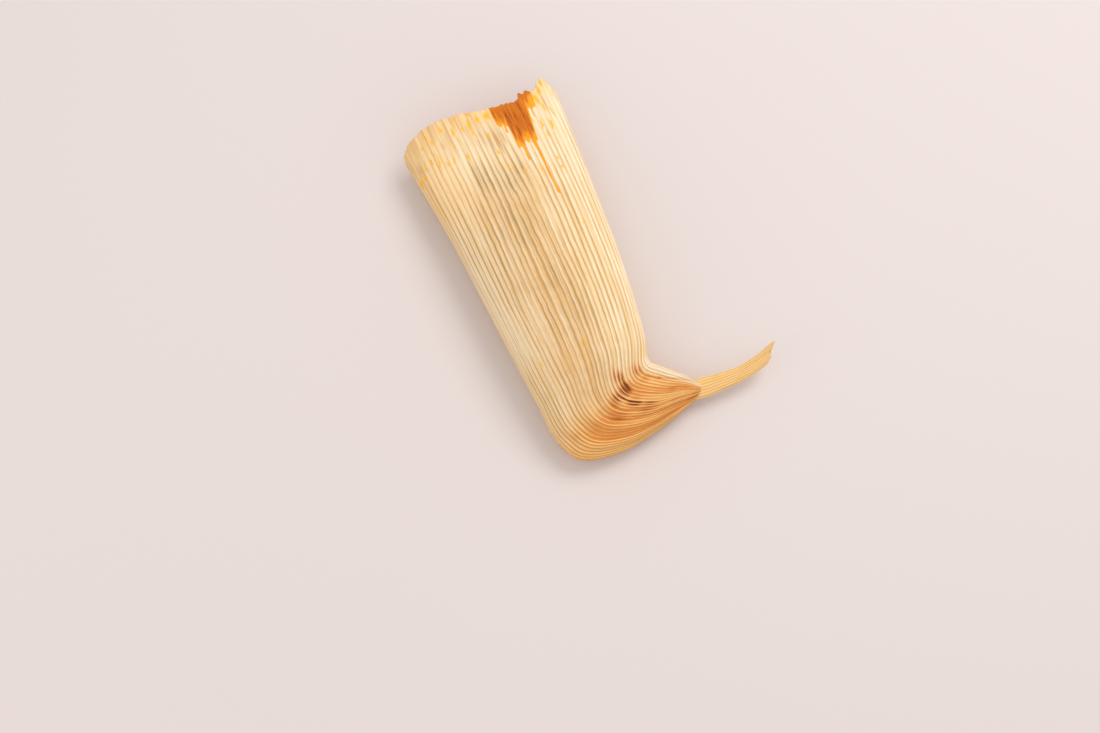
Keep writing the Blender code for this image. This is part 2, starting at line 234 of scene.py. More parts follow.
def vein(rib, dist, soaked):
    """Shade (dark 0, light 1), height and number of the veins. Each vein is a broad rounded
    ridge with a narrow groove to its right; fainter grooves split it here and there. The shade
    is partly the veins' own lighter and darker colour, partly a painted highlight along each
    crest and painted shade in the grooves."""
    number = np.floor(rib + 0.5)
    side = rib - number
    cell = np.floor(rib)
    f = rib - cell
    middle = 0.5 + 0.09 * noise(cell * 3.3, dist / 26.0, 26)
    deep = np.clip(0.75 + 0.45 * noise(cell * 5.7, dist / 21.0, 27), 0.3, 1.15)
    groove = deep * np.exp(-((f - middle) / 0.19) ** 2)
    spot = side - (0.05 + 0.12 * noise(number * 2.9, dist / 30.0, 23))
    split = np.clip(0.15 + 0.85 * noise(number * 4.3, dist / 14.0, 24) + 0.35 * soaked, 0, 1)
    split = split * np.exp(-(spot / 0.085) ** 2)
    lit_crest = np.clip(0.8 + 0.5 * noise(number * 7.7, dist / 25.0, 25), 0, 1)
    lit_crest = np.exp(-((side + 0.15) / 0.13) ** 2) * lit_crest
    at_rim = ease(22.0, 4.0, dist)
    deepest = 0.55 - 0.3 * at_rim + 0.14 * soaked
    # painted highlight along each crest and painted shade in the grooves and splits, over the veins' own
    # lighter and darker colour
    shade = np.clip(0.55 + 0.5 * lit_crest - deepest * groove - 0.42 * split, 0, 1)
    ridge = 0.55 * (0.5 + 0.5 * np.cos(2 * math.pi * side)) + 0.35
    height = ridge - 0.42 * groove - 0.22 * split + 0.1 * lit_crest
    return shade, height, number


def sheet(runs, shares, rib, is_front, side=0.0, face=0.0, smooth=False):
    """Rows of points over one face of the sleeve. rib is the vein number of each column."""
    rows, flows = [], []
    for run in runs:
        left, right, z_low, place, front, back = profile(run, side, face)
        heights = front if is_front else back
        chord = np.linalg.norm(right - left)
        dist = run * RUN_LENGTH
        # the veins wander sideways, most in the soaked middle of the leaf
        off_edge = np.sin(math.pi * np.clip(shares, 0, 1))
        soaked = np.exp(-((shares - 0.47) / 0.26) ** 2) * ease(6, 30, dist)
        sway = 0.13 * noise(rib * 0.21, dist / 19.0, 11) + 0.05 * noise(rib * 0.55, dist / 7.0, 12)
        sway += (0.025 + 0.045 * soaked) * noise(rib * 0.6, dist / 2.4, 13)
        sway = sway * (0.5 + 0.5 * soaked) + 0.26 * noise(rib * 0.5, dist / 75.0, 14)
        sway = sway * off_edge
        moved = np.clip(shares + sway / (FRONT_RIBS if is_front else BACK_RIBS), 0, 1)
        p, h, n_p, n_h, length = along_arc(place, heights, moved)
        if not is_front:
            n_p, n_h = -n_p, -n_h
        pitch = length / (FRONT_RIBS if is_front else BACK_RIBS)
        along = p / chord
        x = left[0] + (right[0] - left[0]) * along
        y = left[1] + (right[1] - left[1]) * along
        reach = ease(0.0, 1.0, max(0.0, 1 - dist / RIM_REACH))
        y = y + rim_shift(is_front, shares) * reach
        shade, height, number = vein(rib, dist, soaked if is_front else 0.3)
        vary = 0.78 + 0.42 * noise(number * 3.7, dist / 22.0, 21) + 0.2 * noise(number * 5.1, dist / 7.0, 22)
        squeeze = min(1.0, 0.36 * pitch / RIB_HEIGHT)
        size = RIB_HEIGHT * vary * squeeze * (0.55 + 0.45 * ease(0, 9, dist))
        out = size * (height - 0.4)
        thick = np.interp(p, place, front - back)
        out = out * np.minimum(1.0, thick / FULL_RIB_DEPTH)
        turn = 2 * math.pi * shares * FRONT_RIBS / PLEAT_RIBS
        fold = np.sin(turn + PLEAT_DRIFT * wander(FRONT_RIBS * shares, 1.0 + 1.5 * run))
        fold = fold * (0.7 + 0.5 * wander(0.7 * FRONT_RIBS * shares, 4.0 + 2.0 * run))
        pleat = PLEAT_HEIGHT * float(ease(PLEAT_FROM, PLEAT_FULL, run)) * fold
        out = out + pleat * ease(1.0, FULL_PLEAT_DEPTH, thick)
        gathered = float(ease(0.74, 0.86, run)) * ease(0.5, 4.0, thick)
        tucks = 1 - np.abs(noise(shares * 9.0 + 0.4 * np.sin(dist / 9.0), dist / 34.0, 34)) * 2.2
        crumple = 0.9 * np.clip(tucks, 0, 1) ** 2 + 0.25 * noise(shares * 14.0, dist / 3.2, 35)
        out = out - 0.75 * gathered * crumple
        # painted shade in the tucks of the gathered end
        shade = np.clip(shade - 0.5 * gathered * np.clip(tucks, 0, 1) ** 3, 0, 1)
        if smooth:
            out = 0 * out
        hollow = DENT * (0.6 * noise(x / 13.0, y / 17.0, 31) + 0.4 * noise(x / 5.0, y / 9.0, 32))
        ruck = (0.05 + 0.20 * soaked) * noise(rib * 0.6, dist / 1.6, 33)
        out = out + (hollow + ruck) * off_edge * squeeze
        if not is_front:
            press = ease(0.1, 1.2, h - face - z_low)
            lap = np.where(shares > SEAM_AT, SEAM_STEP * (1 - shares) / (1 - SEAM_AT), 0.0)
            out = (out + lap) * press
        unit = (right - left) / chord
        rows.append(np.stack([x + n_p * out * unit[0], y + n_p * out * unit[1],
                              np.maximum(h + n_h * out, 0.0)], 1))
        flows.append(np.stack([rib, np.full_like(rib, dist), shade], 1))
    return np.array(rows), np.array(flows)


def spaced(spans):
    """Runs of the mesh rows: (start, stop, steps) one after another."""
    runs = []
    for start, stop, steps in spans:
        runs.extend(np.linspace(start, stop, steps, endpoint=False))
    runs.append(spans[-1][1])
    return np.array(runs)


# ------------------------------------------------------------------ meshes
class Shell:
    """Collects the points of a piece, their values, and its faces with bake coordinates."""

    def __init__(self):
        self.points, self.values, self.faces, self.uvs = [], [], [], []
        self.count = 0

    def add(self, points, values):
        """Stores points with their values; returns the number of the first."""
        points = np.asarray(points, float).reshape(-1, 3)
        values = np.asarray(values, float).reshape(len(points), -1)
        self.points.append(points)
        self.values.append(values)
        first = self.count
        self.count += len(points)
        return first

    def grid(self, first, rows, columns, box, start=0, stop=None, flip=False):
        """Quads of a row-by-row grid between two of its columns, laid out in box."""
        stop = columns if stop is None else stop
        i, j = np.meshgrid(np.arange(rows - 1), np.arange(start, stop), indexing="ij")
        i, j = i.ravel(), j.ravel()
        k = (j + 1) % columns
        here, above = i * columns, (i + 1) * columns
        quad = np.stack([here + j, here + k, above + k, above + j], 1)
        left, low, right, high = box
        u0 = left + (right - left) * (j - start) / (stop - start)
        u1 = left + (right - left) * (j + 1 - start) / (stop - start)
        v0 = low + (high - low) * i / (rows - 1)
        v1 = low + (high - low) * (i + 1) / (rows - 1)
        uv = np.stack([np.stack([u0, v0], 1), np.stack([u1, v0], 1),
                       np.stack([u1, v1], 1), np.stack([u0, v1], 1)], 1)
        if flip:
            quad, uv = quad[:, ::-1], uv[:, ::-1]
        self.faces.append(first + quad)
        self.uvs.append(uv)

    def fan(self, centre, loop, middle, radius, flip=False):
        """Triangles from a centre point to a closed loop, laid out as a disc."""
        loop = np.asarray(loop)
        nxt = np.roll(loop, -1)
        turn = 2 * math.pi * np.arange(len(loop) + 1) / len(loop)
        rim = np.array(middle) + radius * np.stack([np.cos(turn), np.sin(turn)], 1)
        tri = np.stack([np.full(len(loop), centre), loop, nxt], 1)
        uv = np.stack([np.tile(middle, (len(loop), 1)), rim[:-1], rim[1:]], 1)
        if flip:
            tri, uv = tri[:, ::-1], uv[:, ::-1]
        self.faces.append(tri)
        self.uvs.append(uv)

    def rim(self, many, few, box, flip=False):
        """Joins a loop to one with half as many points."""
        many, few = np.asarray(many), np.asarray(few)
        n = len(few)
        j = np.arange(n)
        a, b, c = many[2 * j], many[2 * j + 1], many[(2 * j + 2) % len(many)]
        p, q = few[j], few[(j + 1) % n]
        left, low, right, high = box
        u0 = left + (right - left) * j / n
        u1 = left + (right - left) * (j + 1) / n
        um = (u0 + u1) / 2
        lows, highs = np.full(n, low), np.full(n, high)
        for tri, uv in (((p, b, a), ((u0, lows), (um, highs), (u0, highs))),
                        ((p, q, b), ((u0, lows), (u1, lows), (um, highs))),
                        ((q, c, b), ((u1, lows), (u1, highs), (um, highs)))):
            tri = np.stack(tri, 1)
            uv = np.stack([np.stack(pair, 1) for pair in uv], 1)
            if flip:
                tri, uv = tri[:, ::-1], uv[:, ::-1]
            self.faces.append(tri)
            self.uvs.append(uv)

    def build(self, name, names, shift, material):
        """The mesh object; names lists each stored value: (attribute, first, count)."""
        mesh = bpy.data.meshes.new(name)
        points = (np.concatenate(self.points) + shift) * MM
        values = np.concatenate(self.values)
        sizes = np.concatenate([np.full(len(f), f.shape[1]) for f in self.faces])
        loops = np.concatenate([f.ravel() for f in self.faces]).astype(np.int32)
        uvs = np.concatenate([u.reshape(-1, 2) for u in self.uvs]).astype(np.float32)
        mesh.vertices.add(len(points))
        mesh.vertices.foreach_set("co", points.astype(np.float32).ravel())
        mesh.loops.add(len(loops))
        mesh.loops.foreach_set("vertex_index", loops)
        mesh.polygons.add(len(sizes))
        starts = np.concatenate(([0], np.cumsum(sizes)[:-1])).astype(np.int32)
        mesh.polygons.foreach_set("loop_start", starts)
        mesh.update(calc_edges=True)
        mesh.uv_layers.new(name="OFBake").data.foreach_set("uv", uvs.ravel())
        for key, first, count in names:
            layer = mesh.attributes.new(key, "FLOAT" if count == 1 else "FLOAT_VECTOR", "POINT")
            part = values[:, first:first + count].astype(np.float32)
            layer.data.foreach_set("value" if count == 1 else "vector", part.ravel())
        mesh.shade_smooth()
        mesh.materials.append(material)
        body = bpy.data.objects.new(name, mesh)
        bpy.context.scene.collection.objects.link(body)
        return body


LEAF_VALUES = (("flow", 0, 3), ("stains", 3, 3), ("tints", 6, 3), ("cream_and_highlight", 9, 1), ("tawny", 10, 1))


def leaf_marks(points, flow, is_front):
    """How much sauce, scorch, grey and yellow each point of the leaf shows, and how pale,
    orange, cream_and_highlight or tawny the leaf is there; the cream_and_highlight mark is
    partly painted highlight, the pale rim band partly painted light through the thin edge,
    and the tawny left edge painted shade."""
    x, y = points[..., 0], points[..., 1]
    rib, dist, shade = flow[..., 0], flow[..., 1], flow[..., 2]
    sauce = np.zeros_like(x)
    scorch = np.zeros_like(x)
    grey = np.zeros_like(x)
    yellow = np.zeros_like(x)
    share = np.clip(rib / FRONT_RIBS, 0, 1)
    orange = ease(110, 128, dist) * (1 - 0.9 * ease(0.89, 0.93, share) * is_front)
    cream_and_highlight = np.zeros_like(x)
    tawny = np.zeros_like(x)
    if is_front:
        # sauce soaked in at the mouth, running down between the veins
        edge = np.interp(x, STAIN_X, STAIN_Y)
        edge = edge + 1.6 * noise(rib * 2.2, 0.3, 42) + 0.7 * noise(rib * 6.0, y / 3.0, 43)
        inside_x = ease(STAIN_X[0] - 0.5, STAIN_X[0] + 0.5, x)
        inside_x = inside_x * ease(STAIN_X[-1] + 0.6, STAIN_X[-1] - 0.6, x)
        soak = y - edge + 1.5 * (0.5 - shade)
        deep = ease(0.5, 6.0, soak + 2.6 * noise(rib * 1.7, y / 5.0, 41))
        sauce = (0.45 * ease(-0.7, 0.6, soak) + 0.55 * deep) * inside_x
        for drip_x, low, wide in DRIPS:
            line = drip_x + 0.25 * noise(y / 9.0, drip_x, 44)
            width = wide * (1 + 0.3 * noise(y / 4.0, drip_x, 45))
            run = ease(width + 0.18, width - 0.18, np.abs(x - line))
            sauce = np.maximum(sauce, 0.42 * run * ease(low - 0.3, low + 0.6, y))
        for sx, sy, wide, long in SPECKS:
            lean = 0.05 + 0.3 * noise(y / 1.3, sx, 46)
            bent = (x - sx + lean * (y - sy)) / (wide * (1 + 0.5 * noise(y / 0.9, sy, 52)))
            d = bent ** 2 + np.abs((y - sy) / long) ** 2.6
            yellow = np.maximum(yellow, np.clip((2.0 + 0.6 * math.sin(9 * sx)) * np.exp(-d * 1.3), 0, 1))
        # the bend is scorched, darkest between the veins
        for cx, cy, wide, long, deep in SCORCHES:
            d = ((x - cx) / wide) ** 2 + ((y - cy) / long) ** 2
            spot = np.exp(-d * 1.2) * deep
            spot = spot * np.clip(0.95 + 0.8 * layers(rib * 1.6, dist / 26.0, 47), 0.2, 1.5)
            scorch = np.maximum(scorch, spot * (1 - 0.9 * ease(0.9, 0.94, share)))
        for cx, cy, wide, long, deep in HOLLOWS:
            d = ((x - cx) / wide) ** 2 + ((y - cy) / long) ** 2
            patch = np.clip(0.85 + 0.8 * layers(x / 3.0, y / 6.0, 48), 0, 1.4)
            grey = np.maximum(grey, np.exp(-d) * deep * patch)
        # cream_and_highlight: painted highlights on the lit right side and along the crease of the fold,
        # lighter over the left part of the front, and a paler stretch near the mouth
        cream_and_highlight = (0.2 * ease(0.6, 0.72, share) + 0.4 * ease(0.84, 0.98, share)) * ease(112, 104, dist)
        cream_and_highlight = np.maximum(cream_and_highlight, 0.55 * ease(0.46, 0.15, share) * ease(20, 44, dist) * ease(118, 84, dist))
        cream_and_highlight = np.maximum(cream_and_highlight, ease(0.89, 0.94, share) * ease(112, 118, dist))
        cream_and_highlight = np.maximum(cream_and_highlight, 0.45 * ease(2.0, 9.0, dist) * ease(44.0, 16.0, dist))
        tawny = 0.33 * np.exp(-((share - 0.43) / 0.2) ** 2) * ease(12, 40, dist) * ease(125, 110, dist)
        # painted shade: the left edge, where the leaf turns away from the light, is tinted darker and warmer
        tawny = np.maximum(tawny, 0.14 * ease(0.2, 0.03, share))
        # the torn rim is tanned in fine lines, most at the left
        tanned = np.clip(0.5 + 0.9 * noise(rib * 1.7, dist / 9.0, 53), 0, 1)
        tawny = np.maximum(tawny, 0.42 * ease(15.0, 4.0, dist) * ease(0.66, 0.3, share) * tanned)
        # tawny veins of fat beside the sauce
        for sx, sy, wide, long, deep in TAWNY:
            d = ((x - sx + 0.06 * (y - sy)) / wide) ** 2 + ((y - sy) / long) ** 2
            tawny = np.maximum(tawny, deep * np.exp(-d))
    # pale: a deeper band along the torn rim, partly its own colour and partly painted light shining through
    # the thin edge; also a golden tint at the upper left
    pale = ease(6.4, 2.2, dist + 1.6 * noise(rib * 0.9, 0.0, 49))
    pale = pale * np.clip(0.8 + 0.5 * noise(rib * 1.3, dist / 2.0, 50), 0, 1)
    pale = np.maximum(pale, 0.75 * ease(0.48, 0.1, share) * ease(52.0, 14.0, dist) * is_front)
    return np.stack([np.clip(sauce, 0, 1), np.clip(scorch, 0, 1), np.clip(grey, 0, 1),
                     np.clip(yellow, 0, 1), pale, orange, cream_and_highlight, tawny], -1)


# sauce stain: lower edge by place across the mouth
STAIN_X = (6.3, 6.9, 10.3, 10.7, 13.0, 13.4, 14.2, 15.9, 16.4, 18.9, 19.4, 20.6, 24.3)
STAIN_Y = (55.0, 53.0, 51.5, 41.5, 40.5, 42.5, 44.0, 43.0, 40.5, 41.0, 48.0, 55.5, 58.0)
# drips: place across, lowest point, half width
DRIPS = ((12.5, 35.2, 0.5), (17.3, 18.8, 0.48), (9.1, 49.5, 0.4), (21.6, 52.0, 0.3))
# yellow streaks: x, y, half width, half length
SPECKS = (
    (-25.4, 51.0, 0.36, 1.8), (-22.3, 51.4, 0.34, 1.4), (-19.6, 50.4, 0.38, 3.3), (-14.2, 47.6, 0.36, 1.7),
    (-16.7, 47.2, 0.32, 0.9), (-8.7, 46.6, 0.34, 1.3), (2.6, 43.9, 0.5, 1.2), (3.6, 36.9, 0.42, 1.0),
    (5.4, 34.4, 0.3, 0.6), (9.2, 32.6, 0.4, 0.8), (-3.4, 57.6, 0.5, 3.6), (-14.4, 61.6, 0.45, 0.9),
    (1.9, 51.6, 0.45, 1.5), (22.8, 33.0, 0.34, 0.8), (23.1, 29.1, 0.4, 0.4), (21.7, 5.1, 0.4, 0.8),
    (-10.3, 58.6, 0.36, 1.8), (-6.3, 58.4, 0.36, 1.3), (0.4, 60.0, 0.6, 1.6), (4.3, 59.6, 0.8, 1.4),
    (-19.2, 58.2, 0.34, 1.2), (-23.6, 58.0, 0.34, 0.9), (26.6, 47.4, 0.36, 2.2), (22.9, 48.8, 0.42, 2.4),
    (27.6, 63.0, 1.1, 1.8), (29.4, 65.6, 0.9, 1.3), (25.2, 59.4, 0.6, 2.2), (26.6, 55.2, 0.4, 1.8),
    (-15.2, -39.0, 0.32, 1.0), (3.0, -38.0, 0.32, 1.2), (15.4, 30.5, 0.34, 1.2), (-27.0, 47.0, 0.34, 1.0),
    (-29.0, 46.4, 0.5, 1.6), (-12.0, 53.6, 0.3, 1.4), (23.4, 44.0, 0.34, 1.6), (29.0, 52.6, 0.34, 2.4),
    (19.8, 52.4, 0.36, 2.0), (-20.9, 61.0, 0.5, 0.7), (-8.0, 63.6, 0.5, 0.7), (-2.0, 63.2, 0.6, 0.8),
)
# scorched places at the bend: x, y, half width, half length, depth
SCORCHES = (
    (9.4, -54.6, 2.8, 4.6, 1.1), (10.0, -59.4, 3.4, 4.2, 1.35), (12.2, -64.8, 4.4, 3.4, 0.85),
    (5.6, -61.5, 3.0, 4.0, 0.8), (18.4, -54.6, 2.6, 3.4, 0.75), (19.4, -58.4, 3.0, 2.8, 0.6),
    (24.4, -60.1, 1.9, 0.9, 0.7), (28.7, -60.8, 1.8, 0.8, 0.6), (27.4, -66.0, 3.0, 1.2, 0.55),
    (22.2, -53.6, 1.4, 1.2, 0.7), (16.5, -68.2, 6.0, 3.0, 0.6), (4.0, -68.0, 7.0, 4.0, 0.45),
)
# tawny streaks: x, y, half width, half length, depth
TAWNY = (
    (-0.8, 52.0, 0.7, 4.5, 0.5), (1.6, 49.0, 0.7, 5.0, 0.85), (4.2, 48.5, 0.8, 6.0, 1.0),
    (6.6, 49.5, 0.6, 4.5, 0.75),
    (-3.4, 50.5, 0.5, 3.6, 0.4), (-12.6, 55.5, 0.8, 2.6, 0.5), (-9.8, 55.0, 0.6, 2.2, 0.4),
    (-16.0, 55.2, 0.8, 2.0, 0.45), (-27.4, 51.0, 1.4, 3.2, 0.5), (27.8, 57.2, 0.7, 3.6, 0.35),
)
# soaked grey hollows: x, y, half width, half length, depth
HOLLOWS = (
    (-7.0, 35.0, 3.6, 8.5, 0.7), (2.0, 31.0, 3.6, 7.0, 0.8), (7.0, 32.0, 2.4, 6.0, 0.8),
    (-3.0, 14.0, 9.0, 14.0, 0.55), (3.0, -18.0, 7.0, 16.0, 0.45), (-14.0, 0.0, 6.0, 18.0, 0.3),
)


def build_leaf():
    """The husk: both faces of the sleeve, its rim, its hollow and the closed lobe."""
    spans = ((0.0, 0.12, 38), (0.12, 0.66, 92), (0.66, 1.0, 88))
    runs = spaced(spans)
    front_rib = np.arange(FRONT_RIBS * FRONT_PER_RIB) / FRONT_PER_RIB
    back_rib = np.arange(BACK_RIBS * BACK_PER_RIB) / BACK_PER_RIB
    front, front_flow = sheet(runs, front_rib / FRONT_RIBS, front_rib, True)
    back, back_flow = sheet(runs, 1 - back_rib / BACK_RIBS, FRONT_RIBS + back_rib, False)
    outer = np.concatenate([front, back], 1)
    values = np.concatenate([
        np.concatenate([front_flow, leaf_marks(front, front_flow, True)], -1),
        np.concatenate([back_flow, leaf_marks(back, back_flow, False)], -1)], 1)
    rows, columns = outer.shape[:2]
    split = len(front_rib)
    shell = Shell()
    shell.add(outer, values)
    shell.grid(0, rows, columns, (0.005, 0.005, 0.50, 0.995), 0, split, flip=True)
    shell.grid(0, rows, columns, (0.51, 0.005, 0.80, 0.995), split, columns, flip=True)
    tip = shell.add(outer[-1].mean(0) + np.array([0.8, -0.5, 0]), values[-1].mean(0))
    shell.fan(tip, (rows - 1) * columns + np.arange(columns), (0.90, 0.93), 0.05, flip=True)
    # the hollow, from the rim inwards
    inner_runs = np.concatenate([np.linspace(0, THIN_RUN, 16), np.linspace(0.1, LEAF_END_RUN, 12)])
    inner = []
    for r in inner_runs:
        body = float(ease(0.0, THIN_RUN, r))
        side, face = RIM_SIDE + BODY_SIDE * body, RIM_FACE + BODY_FACE * body
        halves = [sheet([r], front_rib[::2] / FRONT_RIBS, front_rib[::2], True, side, face, r > 0.03)[0][0],
                  sheet([r], 1 - back_rib[::2] / BACK_RIBS, FRONT_RIBS + back_rib[::2], False,
                        side, face, r > 0.03)[0][0]]
        inner.append(np.concatenate(halves))
    inner = np.array(inner)
    in_rows, in_columns = inner.shape[:2]
    in_rib = np.concatenate([front_rib[::2], FRONT_RIBS + back_rib[::2]])
    depth = np.tile((inner_runs * RUN_LENGTH)[:, None], (1, in_columns))
    rib = np.tile(in_rib[None], (in_rows, 1))
    in_values = np.zeros((in_rows, in_columns, FLOW + MARKS))
    in_values[..., 0], in_values[..., 1] = rib, depth
    in_values[..., 2] = vein(rib, depth, 0.0)[0]
    smeared = 0.55 + 0.6 * layers(rib / 4.0, depth / 5.0, 51)
    in_values[..., FLOW] = np.clip(smeared * ease(-1.0, 3.0, depth), 0, 1)
    in_values[..., FLOW + PALE] = in_values[..., FLOW + ORANGE] = 0.35
    first = shell.add(inner, in_values)
    shell.grid(first, in_rows, in_columns, (0.81, 0.30, 0.995, 0.80))
    shell.rim(np.arange(columns), first + np.arange(in_columns), (0.81, 0.82, 0.995, 0.85), flip=True)
    end = shell.add(inner[-1].mean(0) - np.array([0, 0.8, 0]), in_values[-1].mean(0))
    shell.fan(end, first + (in_rows - 1) * in_columns + np.arange(in_columns), (0.90, 0.15), 0.08)
    return shell


TAIL_LENGTH = 60.0         # run of the leaf pattern along the tail


def strip(path, ribs, per_rib, steps, seed):
    """A long folded strip of leaf with a torn end; returns its points and their flow."""
    path = np.asarray(path, float)
    knots = np.linspace(0, 1, len(path))
    columns = ribs * per_rib + 1
    t = np.linspace(-1, 1, columns)
    torn = 0.012 * noise(np.arange(columns) / per_rib * 2.6, 0.5, seed)
    ends = np.interp(t, TORN_PLACE, TORN_REACH) + torn
    top, low, flow = [], [], []
    for s in np.linspace(0, 1, steps):
        at = np.clip(s * ends, 0, 1)
        x, y, z, wide, thick = [track(knots, path[:, i], at) for i in range(5)]
        ahead = [track(knots, path[:, i], np.clip(at + 0.01, 0, 1)) for i in range(2)]
        behind = [track(knots, path[:, i], np.clip(at - 0.01, 0, 1)) for i in range(2)]
        heading = np.arctan2(ahead[1] - behind[1], ahead[0] - behind[0])
        rib = (t + 1) / 2 * ribs
        # crest also sets the tail's shade: painted highlight on the vein crests, painted shade between them
        crest = np.clip(1.1 * np.abs(2 * np.mod(rib, 1.0) - 1) ** 0.8 - 0.1, 0, 1)
        fold = 0.15 * (crest - 0.4) * np.sqrt(np.clip(1 - t * t, 0, 1)) * np.minimum(1, thick)
        body = np.sqrt(np.clip(1 - t ** 4, 0, 1))
        arch = 0.16 * wide * (1 - t * t) + 0.22 * wide * np.abs(t) ** 3 * (t > 0)
        side = wide * t
        px, py = x - side * np.sin(heading), y + side * np.cos(heading)
        top.append(np.stack([px, py, z + arch + thick * body + fold], 1))
        low.append(np.stack([px, py, z + arch - thick * body * 0.8 - 0.5 * fold], 1)[1:-1])
        flow.append(np.stack([rib, at * TAIL_LENGTH, crest], 1))
    top, low, flow = np.array(top), np.array(low)[:, ::-1], np.array(flow)
    ring = np.concatenate([top, low], 1)
    flow = np.concatenate([flow, flow[:, 1:-1][:, ::-1]], 1)
    return ring, flow


# middle line x y z, half width, half thickness of the tail
TAIL_PATH = (
    (20.0, -67.6, 6.4, 1.6, 1.0), (28.0, -68.6, 6.4, 2.6, 1.2), (34.0, -68.7, 6.5, 3.6, 1.3),
    (40.0, -69.6, 6.5, 3.9, 1.2), (47.0, -70.2, 6.8, 3.3, 1.05), (55.0, -70.4, 7.4, 2.9, 0.85),
    (63.0, -69.2, 8.6, 2.7, 0.7), (68.5, -67.4, 9.8, 2.4, 0.6), (72.0, -65.7, 10.7, 2.0, 0.45),
)
# how far along it each place across the tail reaches before it is torn off
TORN_PLACE = (-1.0, -0.7, -0.45, -0.25, -0.1, 0.08, 0.2, 0.32, 0.55, 0.8, 1.0)
TORN_REACH = (0.79, 0.83, 0.855, 0.83, 0.865, 0.835, 0.855, 0.95, 1.0, 0.985, 0.93)


def build_tail():
    """The torn strip that the gathered leaf runs out into."""
    ring, flow = strip(TAIL_PATH, ribs=7, per_rib=8, steps=160, seed=81)
    rows, columns = ring.shape[:2]
    marks = np.zeros((rows, columns, MARKS))
    marks[..., ORANGE] = 0.45
    marks[..., YELLOW] = 0.13 + 0.06 * noise(flow[..., 0], flow[..., 1] / 6.0, 82)
    # painted highlight along the raised upper edge of the tail
    marks[..., CREAM_AND_HIGHLIGHT] = 0.7 * np.exp(-((flow[..., 0] - 6.4) / 0.5) ** 2)
    marks[..., PALE] = 0.8
    shell = Shell()
    values = np.concatenate([flow, marks], -1)
    shell.add(ring, values)
    shell.grid(0, rows, columns, (0.02, 0.12, 0.98, 0.98))
    for row, place in ((0, (0.1, 0.05)), (rows - 1, (0.3, 0.05))):
        middle = shell.add(ring[row].mean(0), values[row].mean(0))
        shell.fan(middle, row * columns + np.arange(columns), place, 0.04, flip=row == 0)
    return shell


def curds(x, z):
    """Relief of the crumbly face of the dough, and how far sauce covers it."""
    wide = layers(x / 5.5, z / 4.2, 61, 2)
    lumps = 1 - 2.0 * np.abs(layers(x / 3.1 + 3.0, z / 2.5, 63, 2))
    crumbs = 1 - 2.0 * np.abs(noise(x / 1.15, z / 1.0, 65))
    relief = 0.9 * wide + 0.75 * lumps + 0.32 * crumbs
    return relief, np.clip(0.52 - 0.75 * wide - 0.42 * (lumps - 0.5), 0, 1)


def build_masa():
    """Dough in the sleeve, crumbly where it shows at the mouth."""
    columns = MASA_COLUMNS
    half = columns // 2
    start = MASA_RECESS / RUN_LENGTH
    f_share = np.arange(half) / half
    b_share = 1 - np.arange(half) / half
    rings = []
    for r in start + (MASA_END_RUN - start) * np.linspace(0, 1, MASA_RINGS):
        narrow = MASA_TAPER * float(ease(MASA_TAPER_RUN, MASA_END_RUN, r))
        side, face = MASA_SIDE + narrow, MASA_FACE + narrow
        f_points = sheet([r], f_share, f_share * FRONT_RIBS, True, side, face, True)[0]
        b_points = sheet([r], b_share, FRONT_RIBS + b_share, False, side, face, True)[0]
        rings.append(np.concatenate([f_points[0], b_points[0]]))
    first = rings[0]
    centre = first.mean(0)
    cap = []
    for k in range(MASA_LEVELS):
        q = 1 - (k + 1) / (MASA_LEVELS + 0.6)
        row = centre + (first - centre) * q
        x, z = row[:, 0], row[:, 2]
        row[:, 1] += 2.0 * (1 - q ** 4) + curds(x, z)[0] * ease(1.0, 0.88, q)
        cap.append(row)
    points = np.array(cap[::-1] + rings)
    rows = len(points)
    x, z = points[..., 0], points[..., 2]
    lump, sauce = curds(x, z)
    values = np.stack([sauce, lump, np.zeros_like(x)], -1)
    shell = Shell()
    shell.add(points, values)
    shell.grid(0, rows, columns, (0.01, 0.01, 0.99, 0.88), flip=True)
    top = shell.add(points[0].mean(0), values[0].mean(0))
    shell.fan(top, np.arange(columns), (0.06, 0.94), 0.05)
    end = shell.add(points[-1].mean(0) - np.array([0, 0.3, 0]), values[-1].mean(0))
    shell.fan(end, (rows - 1) * columns + np.arange(columns), (0.2, 0.94), 0.05, flip=True)
    return shell


